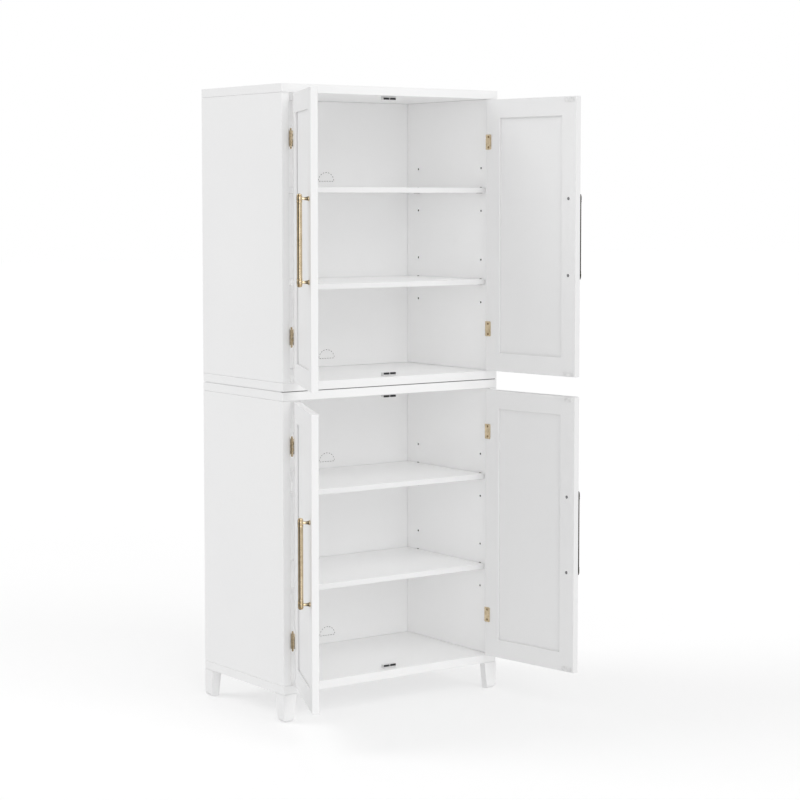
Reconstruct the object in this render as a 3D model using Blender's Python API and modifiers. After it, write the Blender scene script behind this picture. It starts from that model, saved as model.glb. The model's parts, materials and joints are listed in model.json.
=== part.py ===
"""Two-box pantry cabinet: an upper and a lower cupboard, each with two framed doors and two shelves.

Metres, +Z up. The front faces -Y and the doors stand open. The model is built with the middle of
the front plane at floor level as its working origin, and moved at the end so that the origin is
the middle of its own footprint, at floor level.
"""
import math

import bmesh
import bpy
import numpy as np
from mathutils import Matrix, Vector

# Driving dimensions
WIDTH = 0.776
DEPTH = 0.440
HEIGHT = 1.829
FOOT_HEIGHT = 0.082
BOARD = 0.025                # thickness of the top, bottom and side boards
STACK_GAP = 0.0020           # open joint between the two cupboards
TOUCH = 0.0003               # gap kept between pieces that touch
EDGE = 0.0012                # eased edge of every board

BACK_BOARD = 0.012
BACK_INSET = 0.003

DOOR_THICK = 0.020
HINGE_GAP = 0.0036           # door edge to side board
MEETING_GAP = 0.003          # between the two doors of a pair
DOOR_END_GAP = 0.003         # door to top and bottom boards
STILE = 0.056
PANEL_THICK = 0.009
GROOVE_DEPTH = 0.010
PANEL_TONGUE = 0.008
LEFT_OPEN = math.radians(115.6)
RIGHT_OPEN = math.radians(98.4)

SHELF_THICK = 0.0155
SHELF_FRONT = 0.025          # shelf front edge behind the front plane
SHELF_SIDE_GAP = 0.0015
HOLE_PITCH = 0.065
HOLE_RADIUS = 0.0032
HOLE_DEPTH = 0.011
HOLE_FRONT = 0.0475          # front column of support holes, behind the front plane
HOLE_REAR = 0.3684
SUPPORT_DROP = 0.010         # shelf underside below the middle hole of its group

HINGE_INSET = 0.127          # door end to hinge middle
HINGE_LENGTH = 0.045
HINGE_TIP = 0.0070           # domed pin end beyond the knuckles
AXIS_FORWARD = 0.0056        # hinge pin in front of the front plane
KNUCKLE_RADIUS = 0.0041
BORE_RADIUS = 0.0022
PIN_RADIUS = 0.0019
LEAF = 0.0012                # hinge leaf thickness
LEAF_ON_SIDE = 0.0185        # cabinet leaf, front to back
WRAP_WIDTH = 0.0225          # door leaf on the door's inner face
KNUCKLE_PITCH = HINGE_LENGTH / 5

PULL_POST_SPACING = 0.224
PULL_LENGTH = 0.252
PULL_OFFSET = 0.0265         # grip centre in front of the door
PULL_FROM_EDGE = 0.029       # pull centre to the door's free edge
GRIP_RADIUS = 0.0072
COLLAR_RADIUS = 0.0082
COLLAR_LENGTH = 0.020

FOOT_LEG = 0.025             # foot wall thickness
FOOT_TOP = 0.047             # foot width under the cabinet
FOOT_BOTTOM = 0.033
FOOT_CORNER = 0.014          # rounded outer corner at the floor

CATCH_WIDTH = 0.0475
CATCH_HEIGHT = 0.0105
CATCH_X = 0.004
CATCH_DEPTH = 0.016
CATCH_BEHIND_DOOR = 0.0022

KNOCKOUT_RADIUS = 0.0285     # half-round cable knock-outs scored in the back boards
KNOCKOUT_HEIGHT = 0.027
KNOCKOUT_X = 0.049
KNOCKOUT_LEVELS = (0.026, 0.5765)   # flat edge above the cupboard floor
SLOT_LENGTH = 0.0055
SLOT_WIDTH = 0.0014
SLOT_DEPTH = 0.003

PAD_WIDTH = 0.030            # rubber strips between the cupboards, along their sides
PAD_INSET = 0.0015           # from the side faces
PAD_END = 0.012              # from the front and back edges

# Derived levels
BOX_HEIGHT = (HEIGHT - FOOT_HEIGHT - STACK_GAP) / 2
OPENING_HEIGHT = BOX_HEIGHT - 2 * BOARD
DOOR_HEIGHT = OPENING_HEIGHT - 2 * DOOR_END_GAP
INNER_HALF = WIDTH / 2 - BOARD
DOOR_WIDTH = INNER_HALF - HINGE_GAP - MEETING_GAP / 2
AXIS_X = INNER_HALF - HINGE_GAP / 2
CUPBOARDS = {"lower": FOOT_HEIGHT, "upper": FOOT_HEIGHT + BOX_HEIGHT + STACK_GAP}
SIDES = {"left": -1, "right": 1}
SHELF_HOLES = {"low": 0.272, "high": 0.5505}   # middle hole above the cupboard floor


def clear_scene():
    for obj in list(bpy.data.objects):
        bpy.data.objects.remove(obj, do_unlink=True)
    for collection in list(bpy.data.collections):
        bpy.data.collections.remove(collection)


def new_collection(name):
    collection = bpy.data.collections.new(name)
    bpy.context.scene.collection.children.link(collection)
    return collection


def make_material(name, colour, roughness, metallic=0.0):
    material = bpy.data.materials.new(name)
    material.use_nodes = True
    shader = material.node_tree.nodes["Principled BSDF"]
    shader.inputs["Base Color"].default_value = (*colour, 1.0)
    shader.inputs["Roughness"].default_value = roughness
    shader.inputs["Metallic"].default_value = metallic
    material.diffuse_color = (*colour, 1.0)
    return material


def painted_board(name):
    return make_material(name, (0.80, 0.80, 0.81), 0.45)


def brass(name):
    return make_material(name, (0.52, 0.36, 0.16), 0.32, 1.0)


def box_mesh(name, size, centre=(0, 0, 0)):
    mesh = bpy.data.meshes.new(name)
    bm = bmesh.new()
    bmesh.ops.create_cube(bm, size=1.0)
    bmesh.ops.scale(bm, vec=size, verts=bm.verts)
    bmesh.ops.translate(bm, vec=centre, verts=bm.verts)
    bm.to_mesh(mesh)
    bm.free()
    return mesh


def cylinder_mesh(name, radius, length, sides, axis="Z", centre=(0, 0, 0)):
    mesh = bpy.data.meshes.new(name)
    bm = bmesh.new()
    bmesh.ops.create_cone(bm, cap_ends=True, segments=sides, radius1=radius, radius2=radius, depth=length)
    if axis == "X":
        bmesh.ops.rotate(bm, matrix=Matrix.Rotation(math.pi / 2, 3, "Y"), verts=bm.verts)
    bmesh.ops.translate(bm, vec=centre, verts=bm.verts)
    bm.to_mesh(mesh)
    bm.free()
    return mesh


def place(name, mesh, collection, location=(0, 0, 0), parent=None, material=None):
    obj = bpy.data.objects.new(name, mesh)
    collection.objects.link(obj)
    obj.location = location
    obj.parent = parent
    if material and not mesh.materials:
        mesh.materials.append(material)
    return obj


def add_bevel(obj, width, segments=2):
    bevel = obj.modifiers.new("Eased edges", "BEVEL")
    bevel.width = width
    bevel.segments = segments
    bevel.limit_method = "ANGLE"
    bevel.angle_limit = math.radians(40)


def add_boolean(obj, other, operation):
    boolean = obj.modifiers.new(operation.title(), "BOOLEAN")
    boolean.operation = operation
    boolean.solver = "EXACT"
    boolean.object = other


def board(name, size, centre, collection, parent=None, edge=EDGE, material=None):
    obj = place(name, box_mesh(name, size), collection, centre, parent, material or painted_board(name))
    add_bevel(obj, edge)
    return obj


def hide_guide(obj):
    obj.hide_render = True
    obj.display_type = "WIRE"


def baked(name, base_mesh, steps, guides):
    """Joins or cuts base_mesh with other meshes, one after the other, and returns the result."""
    base = place(name + "_base", base_mesh, guides)
    helpers = []
    for number, (operation, mesh) in enumerate(steps):
        helper = place(f"{name}_{number}", mesh, guides)
        helpers.append(helper)
        add_boolean(base, helper, operation)
    bpy.context.view_layer.update()
    evaluated = base.evaluated_get(bpy.context.evaluated_depsgraph_get())
    result = bpy.data.meshes.new_from_object(evaluated)
    result.name = name
    for obj in [base, *helpers]:
        bpy.data.objects.remove(obj, do_unlink=True)
    return result


def turned_mesh(name, profile, sides, guides):
    """A closed turned solid from a profile of (radius, height) that runs down its outer side."""
    mesh = bpy.data.meshes.new(name + "_profile")
    points = [(radius, 0.0, height) for radius, height in profile]
    mesh.from_pydata(points, [(i, i + 1) for i in range(len(points) - 1)], [])
    obj = place(name + "_profile", mesh, guides)
    screw = obj.modifiers.new("Turn", "SCREW")
    screw.steps = sides
    screw.render_steps = sides
    screw.use_merge_vertices = True
    screw.merge_threshold = 0.00001
    bpy.context.view_layer.update()
    evaluated = obj.evaluated_get(bpy.context.evaluated_depsgraph_get())
    result = bpy.data.meshes.new_from_object(evaluated)
    result.name = name
    bpy.data.objects.remove(obj, do_unlink=True)
    return result


def smooth(mesh, angle=35):
    mesh.shade_smooth()
    mesh.set_sharp_from_angle(angle=math.radians(angle))


def shelf_middle(base, level):
    return base + BOARD + SHELF_HOLES[level]


def hole_cutter(name, base, side, cutters):
    """One mesh of blind holes: three heights for each shelf, in a front and a rear column."""
    bm = bmesh.new()
    for level in SHELF_HOLES:
        for step in (-1, 0, 1):
            for depth in (HOLE_FRONT, HOLE_REAR):
                spot = Vector((side * INNER_HALF, depth, shelf_middle(base, level) + step * HOLE_PITCH))
                stand = Matrix.Translation(spot) @ Matrix.Rotation(math.pi / 2, 4, "Y")
                bmesh.ops.create_cone(bm, cap_ends=True, segments=12, radius1=HOLE_RADIUS,
                                      radius2=HOLE_RADIUS, depth=2 * HOLE_DEPTH, matrix=stand)
    mesh = bpy.data.meshes.new(name)
    bm.to_mesh(mesh)
    bm.free()
    cutter = place(name, mesh, cutters)
    hide_guide(cutter)
    return cutter


def knockout_outline():
    """Spots along a half-round knock-out as (x, z, turn), slots apart, from its flat edge round."""
    spots = []
    flat_slots = 6
    for step in range(flat_slots):
        spots.append((KNOCKOUT_RADIUS * (2 * (step + 0.5) / flat_slots - 1), 0.0, 0.0))
    arc_slots = 9
    squash = KNOCKOUT_HEIGHT / KNOCKOUT_RADIUS
    for step in range(arc_slots):
        angle = math.pi * (step + 0.5) / arc_slots
        spot = (KNOCKOUT_RADIUS * math.cos(angle), KNOCKOUT_HEIGHT * math.sin(angle))
        spots.append((*spot, -math.atan2(squash * math.cos(angle), -math.sin(angle))))
    return spots


def knockout_cutter(name, base, cutters):
    """One mesh of the short score slots of both knock-outs of a cupboard's back board."""
    face = DEPTH - BACK_INSET - BACK_BOARD
    bm = bmesh.new()
    for level in KNOCKOUT_LEVELS:
        for x, z, turn in knockout_outline():
            spot = Vector((KNOCKOUT_X + x, face, base + BOARD + level + z))
            shape = Matrix.Diagonal((SLOT_LENGTH, 2 * SLOT_DEPTH, SLOT_WIDTH, 1.0))
            stand = Matrix.Translation(spot) @ Matrix.Rotation(turn, 4, "Y")
            bmesh.ops.create_cube(bm, size=1.0, matrix=stand @ shape)
    mesh = bpy.data.meshes.new(name)
    bm.to_mesh(mesh)
    bm.free()
    cutter = place(name, mesh, cutters)
    hide_guide(cutter)
    return cutter


def build_box(cupboard, base, parts, cutters):
    top = base + BOX_HEIGHT
    side_height = BOX_HEIGHT - 2 * BOARD - 2 * TOUCH
    middle = base + BOX_HEIGHT / 2
    for name, level in (("bottom_panel", base + BOARD / 2), ("top_panel", top - BOARD / 2)):
        board(f"{cupboard}_{name}", (WIDTH, DEPTH, BOARD), (0, DEPTH / 2, level), parts)
    for side, sign in SIDES.items():
        centre = (sign * (WIDTH - BOARD) / 2, DEPTH / 2, middle)
        panel = board(f"{cupboard}_{side}_side_panel", (BOARD, DEPTH, side_height), centre, parts)
        add_boolean(panel, hole_cutter(f"{cupboard}_{side}_holes", base, sign, cutters), "DIFFERENCE")
    back_size = (2 * INNER_HALF - 2 * TOUCH, BACK_BOARD, OPENING_HEIGHT - 2 * TOUCH)
    back_centre = (0, DEPTH - BACK_INSET - BACK_BOARD / 2, middle)
    back = board(f"{cupboard}_back_panel", back_size, back_centre, parts)
    add_boolean(back, knockout_cutter(f"{cupboard}_knockouts", base, cutters), "DIFFERENCE")


def build_shelves(cupboard, base, parts):
    back = DEPTH - BACK_INSET - BACK_BOARD - 0.002
    size = (2 * (INNER_HALF - SHELF_SIDE_GAP), back - SHELF_FRONT, SHELF_THICK)
    for level in SHELF_HOLES:
        height = shelf_middle(base, level) - SUPPORT_DROP + SHELF_THICK / 2
        board(f"{cupboard}_shelf_{level}", size, (0, (SHELF_FRONT + back) / 2, height), parts)


def door_frame_mesh(guides):
    blank = box_mesh("door_frame_blank", (DOOR_WIDTH, DOOR_THICK, DOOR_HEIGHT))
    window = (DOOR_WIDTH - 2 * STILE, 2 * DOOR_THICK, DOOR_HEIGHT - 2 * STILE)
    groove = (window[0] + 2 * GROOVE_DEPTH, PANEL_THICK + 2 * TOUCH, window[2] + 2 * GROOVE_DEPTH)
    steps = [("DIFFERENCE", box_mesh("window", window)), ("DIFFERENCE", box_mesh("groove", groove))]
    return baked("door_frame", blank, steps, guides)


def pull_mesh(guides):
    """Bar pull: a turned grip with ringed collars on two flared posts, the door face at y = 0."""
    half = PULL_LENGTH / 2
    collar = PULL_POST_SPACING / 2
    profile = [
        (0.0, half),
        (COLLAR_RADIUS * 0.62, half - 0.0012),
        (COLLAR_RADIUS * 0.80, half - 0.0035),
        (COLLAR_RADIUS, collar + COLLAR_LENGTH / 2 - 0.003),
        (COLLAR_RADIUS, collar - COLLAR_LENGTH / 2 + 0.003),
        (GRIP_RADIUS * 1.08, collar - COLLAR_LENGTH / 2),
        (GRIP_RADIUS, collar - COLLAR_LENGTH / 2 - 0.006),
    ]
    profile += [(radius, -height) for radius, height in reversed(profile)]
    grip = turned_mesh("pull_grip", profile, 16, guides)
    grip.transform(Matrix.Translation((0, -PULL_OFFSET, 0)))
    steps = []
    for end in (-1, 1):
        post = turned_mesh(f"pull_post_{end}", [
            (0.0, PULL_OFFSET),
            (0.0036, PULL_OFFSET),
            (0.0038, PULL_OFFSET * 0.62),
            (0.0050, PULL_OFFSET * 0.30),
            (0.0066, 0.003),
            (0.0066, TOUCH),
            (0.0, TOUCH),
        ], 12, guides)
        post.transform(Matrix.Translation((0, 0, end * collar)) @ Matrix.Rotation(math.pi / 2, 4, "X"))
        steps.append(("UNION", post))
    mesh = baked("pull", grip, steps, guides)
    smooth(mesh)
    return mesh


def leaf_mesh(name, plates, knuckles, guides):
    """A hinge leaf about the pin axis: plates as (size, centre), knuckles as (length, height)."""
    meshes = [box_mesh(f"{name}_plate", size, centre) for size, centre in plates]
    meshes += [cylinder_mesh(f"{name}_knuckle", KNUCKLE_RADIUS, length, 16, centre=(0, 0, height))
               for length, height in knuckles]
    steps = [("UNION", mesh) for mesh in meshes[1:]]
    steps.append(("DIFFERENCE", cylinder_mesh(f"{name}_bore", BORE_RADIUS, 2 * HINGE_LENGTH, 16)))
    mesh = baked(name, meshes[0], steps, guides)
    smooth(mesh)
    return mesh


def hinge_meshes(guides):
    """Left-hand hinge with its pin on the local Z axis: side board towards -X, door towards +X."""
    knuckle = KNUCKLE_PITCH - TOUCH
    rear = AXIS_FORWARD + LEAF_ON_SIDE
    neck = KNUCKLE_RADIUS + 0.0004          # plates start behind the other leaf's knuckles
    tongue = (BORE_RADIUS + KNUCKLE_RADIUS) / 2
    tongue_reach, tongue_middle = neck + LEAF - tongue, (neck + LEAF + tongue) / 2
    side_x = -HINGE_GAP / 2 + TOUCH + LEAF / 2
    edge_x = HINGE_GAP / 2 - TOUCH - LEAF / 2
    cabinet_spots = [step * KNUCKLE_PITCH for step in (-2, 0, 2)]
    cabinet_plates = [((LEAF, rear - neck, HINGE_LENGTH), (side_x, (rear + neck) / 2, 0))]
    cabinet_plates += [((LEAF, tongue_reach, knuckle), (side_x, tongue_middle, spot))
                       for spot in cabinet_spots]
    cabinet_knuckles = [(knuckle, spot) for spot in cabinet_spots]
    cabinet = leaf_mesh("hinge_cabinet_leaf", cabinet_plates, cabinet_knuckles, guides)
    inner_face = AXIS_FORWARD + DOOR_THICK + TOUCH
    wrap = WRAP_WIDTH + LEAF
    door_spots = [step * KNUCKLE_PITCH for step in (-1, 1)]
    door_plates = [
        ((LEAF, inner_face + LEAF - neck, HINGE_LENGTH), (edge_x, (inner_face + LEAF + neck) / 2, 0)),
        ((wrap, LEAF, HINGE_LENGTH), (edge_x - LEAF / 2 + wrap / 2, inner_face + LEAF / 2, 0)),
    ]
    door_plates += [((LEAF, tongue_reach, knuckle), (edge_x, tongue_middle, spot)) for spot in door_spots]
    door_knuckles = [(knuckle, spot) for spot in door_spots]
    door = leaf_mesh("hinge_door_leaf", door_plates, door_knuckles, guides)
    tip = HINGE_LENGTH / 2 + TOUCH
    dome = KNUCKLE_RADIUS * 0.85
    profile = [(0.0, tip + HINGE_TIP), (dome * 0.6, tip + HINGE_TIP * 0.85), (dome, tip + HINGE_TIP * 0.45),
               (dome * 0.7, tip + HINGE_TIP * 0.15), (dome, tip), (PIN_RADIUS, tip)]
    profile += [(radius, -height) for radius, height in reversed(profile)]
    pin = turned_mesh("hinge_pin", profile, 16, guides)
    smooth(pin)
    return {"cabinet_leaf": cabinet, "door_leaf": door, "pin": pin}


def build_door(cupboard, side, base, meshes, parts, guides):
    sign = SIDES[side]
    middle = base + BOX_HEIGHT / 2
    name = f"{cupboard}_{side}"
    axis = place(f"{name}_door_axis", None, guides, (sign * AXIS_X, -AXIS_FORWARD, middle))
    axis.rotation_euler = (0, 0, RIGHT_OPEN if sign > 0 else -LEFT_OPEN)
    centre_x = -sign * (HINGE_GAP / 2 + DOOR_WIDTH / 2)
    centre = (centre_x, AXIS_FORWARD + DOOR_THICK / 2, 0)
    paint = painted_board(f"{name}_frame")
    frame = place(f"{name}_door_frame", meshes["frame"].copy(), parts, centre, axis, paint)
    add_bevel(frame, 0.0013)
    in_frame = 2 * (PANEL_TONGUE - STILE)
    panel_size = (DOOR_WIDTH + in_frame, PANEL_THICK, DOOR_HEIGHT + in_frame)
    board(f"{name}_door_panel", panel_size, centre, parts, axis, 0.0006)
    free_edge = -sign * (HINGE_GAP / 2 + DOOR_WIDTH)
    pull_centre = (free_edge + sign * PULL_FROM_EDGE, AXIS_FORWARD, 0)
    place(f"{name}_pull", meshes["pull"].copy(), parts, pull_centre, axis, brass(f"{name}_pull"))
    turn = 0 if sign < 0 else math.pi
    for end, direction in (("top", 1), ("bottom", -1)):
        height = direction * (DOOR_HEIGHT / 2 - HINGE_INSET)
        for piece in ("cabinet_leaf", "door_leaf", "pin"):
            on_door = piece == "door_leaf"
            location = (0, 0, height) if on_door else (sign * AXIS_X, -AXIS_FORWARD, middle + height)
            piece_name = f"{name}_hinge_{end}_{piece}"
            parent = axis if on_door else None
            obj = place(piece_name, meshes[piece].copy(), parts, location, parent, brass(piece_name))
            obj.rotation_euler = (0, turn, 0)


def foot_outline(name, turned):
    """Outline of one foot wall as a prism: rounded at the floor corner, tapered towards the inside.

    It runs along X, or along Y when turned.
    """
    points = [(0.0, FOOT_HEIGHT - TOUCH), (0.0, FOOT_CORNER)]
    for step in range(1, 7):
        angle = math.pi + step / 6 * math.pi / 2
        points.append((FOOT_CORNER * (1 + math.cos(angle)), FOOT_CORNER * (1 + math.sin(angle))))
    points.append((FOOT_BOTTOM, 0.0))
    fillet = 0.008
    shoulder = FOOT_HEIGHT - TOUCH - fillet
    for step in range(5):
        angle = step / 4 * math.pi / 2
        points.append((FOOT_TOP - fillet * 0.6 * math.cos(angle), shoulder + fillet * math.sin(angle)))
    bm = bmesh.new()
    ring = [bm.verts.new((x, -0.01, z)) for x, z in points]
    face = bm.faces.new(ring)
    extruded = bmesh.ops.extrude_face_region(bm, geom=[face])
    moved = [item for item in extruded["geom"] if isinstance(item, bmesh.types.BMVert)]
    bmesh.ops.translate(bm, vec=(0, FOOT_TOP + 0.03, 0), verts=moved)
    bmesh.ops.recalc_face_normals(bm, faces=bm.faces)
    if turned:
        swap = Matrix(((0, 1, 0), (1, 0, 0), (0, 0, 1)))
        bmesh.ops.transform(bm, matrix=swap.to_4x4(), verts=bm.verts)
        bmesh.ops.reverse_faces(bm, faces=bm.faces)
    mesh = bpy.data.meshes.new(name)
    bm.to_mesh(mesh)
    bm.free()
    return mesh


def foot_mesh(guides):
    """Corner bracket foot in the corner +X +Y of its own origin: an L in plan, trimmed by two outlines."""
    reach = FOOT_TOP + 0.002
    middle = FOOT_HEIGHT / 2
    across = box_mesh("foot_across", (reach, FOOT_LEG, FOOT_HEIGHT), (reach / 2, FOOT_LEG / 2, middle))
    along = box_mesh("foot_along", (FOOT_LEG, reach, FOOT_HEIGHT), (FOOT_LEG / 2, reach / 2, middle))
    steps = [("UNION", along), ("INTERSECT", foot_outline("foot_front_outline", False)),
             ("INTERSECT", foot_outline("foot_side_outline", True))]
    mesh = baked("foot", across, steps, guides)
    smooth(mesh)
    return mesh


def build_feet(parts, guides):
    mesh = foot_mesh(guides)
    corners = {"front_left": (-WIDTH / 2, 0, 0), "front_right": (WIDTH / 2, 0, 90),
               "back_right": (WIDTH / 2, DEPTH, 180), "back_left": (-WIDTH / 2, DEPTH, 270)}
    for corner, (x, y, turn) in corners.items():
        name = f"foot_{corner}"
        foot = place(name, mesh.copy(), parts, (x, y, 0), material=painted_board(name))
        foot.rotation_euler = (0, 0, math.radians(turn))


def build_catches(cupboard, base, parts):
    plastic = make_material(f"{cupboard}_catch_plastic", (0.02, 0.02, 0.022), 0.5)
    y = DOOR_THICK + CATCH_BEHIND_DOOR + CATCH_DEPTH / 2
    floor = base + BOARD + TOUCH + CATCH_HEIGHT / 2
    ceiling = base + BOX_HEIGHT - BOARD - TOUCH - CATCH_HEIGHT / 2
    for end, height in (("bottom", floor), ("top", ceiling)):
        size = (CATCH_WIDTH, CATCH_DEPTH, CATCH_HEIGHT)
        board(f"{cupboard}_catch_{end}", size, (CATCH_X, y, height), parts, edge=0.001, material=plastic)


def build_pads(parts):
    rubber = make_material("stacking_pad_rubber", (0.70, 0.70, 0.70), 0.7)
    size = (PAD_WIDTH, DEPTH - 2 * PAD_END, STACK_GAP - 2 * TOUCH)
    level = FOOT_HEIGHT + BOX_HEIGHT + STACK_GAP / 2
    for side, sign in SIDES.items():
        name = f"stacking_pad_{side}"
        x = sign * (WIDTH / 2 - PAD_INSET - PAD_WIDTH / 2)
        place(name, box_mesh(name, size), parts, (x, DEPTH / 2, level), material=rubber)


def centre_footprint(parts):
    """Moves everything so that the origin is the middle of the footprint of the open cabinet."""
    bpy.context.view_layer.update()
    depsgraph = bpy.context.evaluated_depsgraph_get()
    corners = []
    for obj in parts.objects:
        evaluated = obj.evaluated_get(depsgraph)
        mesh = evaluated.to_mesh()
        points = np.empty(len(mesh.vertices) * 3)
        mesh.vertices.foreach_get("co", points)
        turn, move = np.array(obj.matrix_world.to_3x3()), np.array(obj.matrix_world.translation)
        world = points.reshape(-1, 3) @ turn.T + move
        corners += [world.min(axis=0), world.max(axis=0)]
        evaluated.to_mesh_clear()
    low, high = np.min(corners, axis=0), np.max(corners, axis=0)
    shift = Vector((-(low[0] + high[0]) / 2, -(low[1] + high[1]) / 2, -low[2]))
    for obj in bpy.context.scene.objects:
        if obj.parent is None:
            obj.location += shift
    bpy.context.view_layer.update()
    print("footprint shift", tuple(round(value, 6) for value in shift))


def main():
    clear_scene()
    parts = new_collection("pantry_cabinet")
    cutters = new_collection("cutters")
    guides = new_collection("guides")
    meshes = hinge_meshes(guides)
    meshes["frame"] = door_frame_mesh(guides)
    meshes["pull"] = pull_mesh(guides)
    for cupboard, base in CUPBOARDS.items():
        build_box(cupboard, base, parts, cutters)
        build_shelves(cupboard, base, parts)
        build_catches(cupboard, base, parts)
        for side in SIDES:
            build_door(cupboard, side, base, meshes, parts, guides)
    build_feet(parts, guides)
    build_pads(parts)
    centre_footprint(parts)


main()
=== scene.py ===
"""Looks of the pantry cabinet: painted boards, aged-brass pulls and hinges, catches and supports.

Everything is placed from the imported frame. A door's pieces are built in the door's own space, with
the hinge pin on the Z axis and the door closed, and then turned to where the door stands at rest.
"""
import json
import math

import bmesh
import bpy
import numpy as np
from mathutils import Matrix, Vector


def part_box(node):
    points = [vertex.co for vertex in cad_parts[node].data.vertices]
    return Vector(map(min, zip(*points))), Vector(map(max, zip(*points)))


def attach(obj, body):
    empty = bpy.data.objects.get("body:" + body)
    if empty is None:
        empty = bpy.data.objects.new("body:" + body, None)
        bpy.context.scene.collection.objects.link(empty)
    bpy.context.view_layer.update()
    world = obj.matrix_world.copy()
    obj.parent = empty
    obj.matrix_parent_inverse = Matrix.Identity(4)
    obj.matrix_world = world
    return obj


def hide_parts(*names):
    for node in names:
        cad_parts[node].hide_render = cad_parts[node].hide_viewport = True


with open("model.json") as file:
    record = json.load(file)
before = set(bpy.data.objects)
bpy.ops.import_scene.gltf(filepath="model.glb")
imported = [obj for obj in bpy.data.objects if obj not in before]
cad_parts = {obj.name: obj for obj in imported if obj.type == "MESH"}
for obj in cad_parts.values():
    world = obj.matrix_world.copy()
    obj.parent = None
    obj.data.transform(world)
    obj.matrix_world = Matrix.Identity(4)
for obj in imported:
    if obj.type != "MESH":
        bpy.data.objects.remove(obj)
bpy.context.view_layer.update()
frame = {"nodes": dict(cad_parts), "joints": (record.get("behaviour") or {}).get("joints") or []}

# Where the camera stands, from the middle of the cabinet's front at floor level
CAMERA_FROM_FRONT = (-3.667, -5.087, 1.508)
CAMERA_YAW = math.radians(35.96)
CAMERA_PITCH = math.radians(4.14)
CAMERA_LENS = 96.1
CAMERA_SHIFT = -0.06

CUPBOARDS = ("upper", "lower")
SIDES = {"left": -1, "right": 1}
ENDS = {"top": 1, "bottom": -1}
SHELVES = ("low", "high")

# Hinges, as on the CAD leaves
KNUCKLE_RADIUS = 0.0041
HINGE_GAP = 0.0036
LEAF = 0.0012
TOUCH = 0.0003
PIN_TIP = 0.0070
LEAF_CORNER = 0.0030
HINGE_SCREW_SPREAD = 0.0310
HINGE_SCREW_RADIUS = 0.0034

# Pulls
POST_SPACING = 0.224
PULL_OFFSET = 0.0265
PULL_FROM_EDGE = 0.029
GRIP_RADIUS = 0.0072
COLLAR_RADIUS = 0.0082

# Strike plates on the doors
STRIKE_LENGTH = 0.0395
STRIKE_HEIGHT = 0.0132
STRIKE_THICK = 0.0011
STRIKE_FROM_EDGE = 0.0255
STRIKE_FROM_END = 0.0096

# Catches: the white tray against the board, and the depth of the black front
CATCH_TRAY = 0.0044
CATCH_BLACK = 0.0042

# Support holes in the side boards
HOLE_PITCH = 0.065
HOLE_RADIUS = 0.0032
HOLE_DEPTH = 0.011
HOLE_FRONT = 0.0475
HOLE_REAR = 0.3684
HOLE_ABOVE_SHELF_UNDERSIDE = 0.010

# Dark strip in the front of the gap between the two cupboards: painted shade in the gap
GAP_SHADE_INSET = 0.0020
GAP_SHADE_WIDTH = 0.0080

# Light levels, as the brightness each adds to a white surface that faces it
DOME_LEVEL = 0.785
FLOOR_WHITE = 0.575
FLOOR_GLOW = 0.40
FLOOR_REFLECTED = 0.90
# Brightness of the studio as polished parts reflect it, by bearing: 0 is behind the cabinet, 180 in
# front of it, and 216 behind the camera
REFLECTIONS = (
    (0, 0.25), (30, 0.03), (160, 0.03), (172, 0.5), (180, 1.55), (206, 1.55),
    (218, 0.12), (232, 0.05), (252, 0.15), (278, 0.45), (345, 0.45), (360, 0.25),
)
# name: level, azimuth from the cabinet's front towards its left, elevation and spread in degrees
LIGHTS = {
    "key": (0.20, 126, 42, 35),
    "camera_side": (0.06, 33, 8, 30),
    "high_front": (0.21, 0, 38, 45),
}


# ---------------------------------------------------------------- materials

def node_material(name):
    material = bpy.data.materials.new(name)
    material.use_nodes = True
    tree = material.node_tree
    return material, tree, tree.nodes["Principled BSDF"]


def object_coordinates(tree, scale=(1, 1, 1)):
    coordinates = tree.nodes.new("ShaderNodeTexCoord")
    mapping = tree.nodes.new("ShaderNodeMapping")
    mapping.inputs["Scale"].default_value = scale
    tree.links.new(coordinates.outputs["Object"], mapping.inputs["Vector"])
    return mapping.outputs["Vector"]


def noise(tree, vector, scale, detail=3.0, roughness=0.5):
    node = tree.nodes.new("ShaderNodeTexNoise")
    node.inputs["Scale"].default_value = scale
    node.inputs["Detail"].default_value = detail
    node.inputs["Roughness"].default_value = roughness
    tree.links.new(vector, node.inputs["Vector"])
    return node.outputs["Fac"]


def ramp(tree, factor, stops):
    node = tree.nodes.new("ShaderNodeValToRGB")
    elements = node.color_ramp.elements
    while len(elements) < len(stops):
        elements.new(0.5)
    for element, (position, value) in zip(elements, stops):
        element.position = position
        colour = value if isinstance(value, tuple) else (value, value, value)
        element.color = (*colour, 1.0)
    tree.links.new(factor, node.inputs["Fac"])
    return node.outputs["Color"]


def blend_colours(tree, factor, first, second, mode="MIX"):
    node = tree.nodes.new("ShaderNodeMix")
    node.data_type = "RGBA"
    node.blend_type = mode
    if isinstance(factor, float):
        node.inputs["Factor"].default_value = factor
    else:
        tree.links.new(factor, node.inputs["Factor"])
    for socket, value in (("A", first), ("B", second)):
        target = [entry for entry in node.inputs if entry.name == socket and entry.type == "RGBA"][0]
        if isinstance(value, tuple):
            target.default_value = (*value, 1.0)
        else:
            tree.links.new(value, target)
    return [entry for entry in node.outputs if entry.type == "RGBA"][0]


def math_node(tree, operation, first, second):
    node = tree.nodes.new("ShaderNodeMath")
    node.operation = operation
    for socket, value in zip(node.inputs, (first, second)):
        if isinstance(value, float):
            socket.default_value = value
        else:
            tree.links.new(value, socket)
    return node.outputs[0]


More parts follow.
